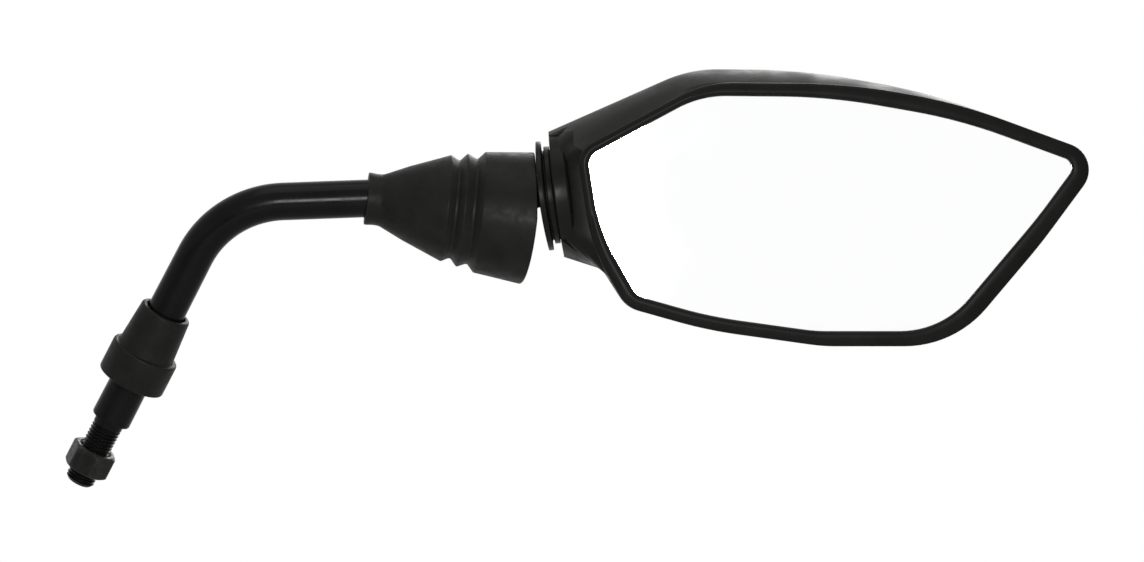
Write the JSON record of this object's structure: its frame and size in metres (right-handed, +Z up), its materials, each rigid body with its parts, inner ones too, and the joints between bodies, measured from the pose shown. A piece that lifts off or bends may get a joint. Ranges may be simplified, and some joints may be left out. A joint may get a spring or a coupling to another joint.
{
  "type": "motorcycle mirror",
  "caption": "Angular motorcycle rear-view mirror on a bent round stem with a ball joint, a loose rubber boot, a nut cover and a threaded stud with its lock nut.",
  "frame": {"origin": "centre of the stud's shoulder, where the threaded stud meets the foot of the stem", "axes": "+X outboard towards the tip of the head, +Y forward, away from the glass, +Z up; the glass faces -Y"},
  "size_m": [0.3413, 0.0618, 0.1397],
  "materials": {
    "painted_steel": "gloss",
    "nut_steel": "satin",
    "rubber": "matte",
    "nylon": "satin",
    "plated_steel": "satin",
    "shell_plastic": "matte",
    "bezel_plastic": "satin",
    "mirror": "polished",
    "foam": "matte",
    "carrier_plastic": "matte"
  },
  "bodies": {
    "stem": {"stem": "painted_steel", "lock_nut": "nut_steel"},
    "nut_cover": {"nut_cover": "rubber"},
    "boot": {"boot": "rubber"},
    "front_seat": {"ball_seat_front": "nylon"},
    "rear_seat": {"ball_seat_rear": "nylon"},
    "head": {"pressure_cup": "plated_steel", "disc_springs": "plated_steel", "retainer_plate": "plated_steel", "retainer_screws": "plated_steel", "rear_shell": "shell_plastic", "bezel": "bezel_plastic", "mirror_glass": "mirror", "foam_pad": "foam", "glass_carrier": "carrier_plastic", "carrier_screws": "plated_steel"}
  },
  "joints": [
    {"name": "cover_slide", "type": "slide", "parent": "stem", "child": "nut_cover", "axis": [0.4416, -0.2924, 0.8483], "range_m": [-0.035, 0.018]},
    {"name": "boot_slide", "type": "slide", "parent": "stem", "child": "boot", "axis": [0.9993, 0, 0.0366], "range_m": [-0.02, 0]},
    {"name": "head_swing", "type": "hinge", "parent": "stem", "child": "front_seat", "pos_m": [0.15996, -0.02479, 0.07642], "axis": [0, 1, 0], "range_deg": [-10, 10], "deforming": ["boot"]},
    {"name": "head_yaw", "type": "hinge", "parent": "front_seat", "child": "rear_seat", "pos_m": [0.15996, -0.02479, 0.07642], "axis": [0, 0, 1], "range_deg": [-10, 10], "deforming": ["boot"]},
    {"name": "head_roll", "type": "hinge", "parent": "rear_seat", "child": "head", "pos_m": [0.15996, -0.02479, 0.07642], "axis": [0.9921, 0, 0.1253], "range_deg": [-30, 30]}
  ]
}
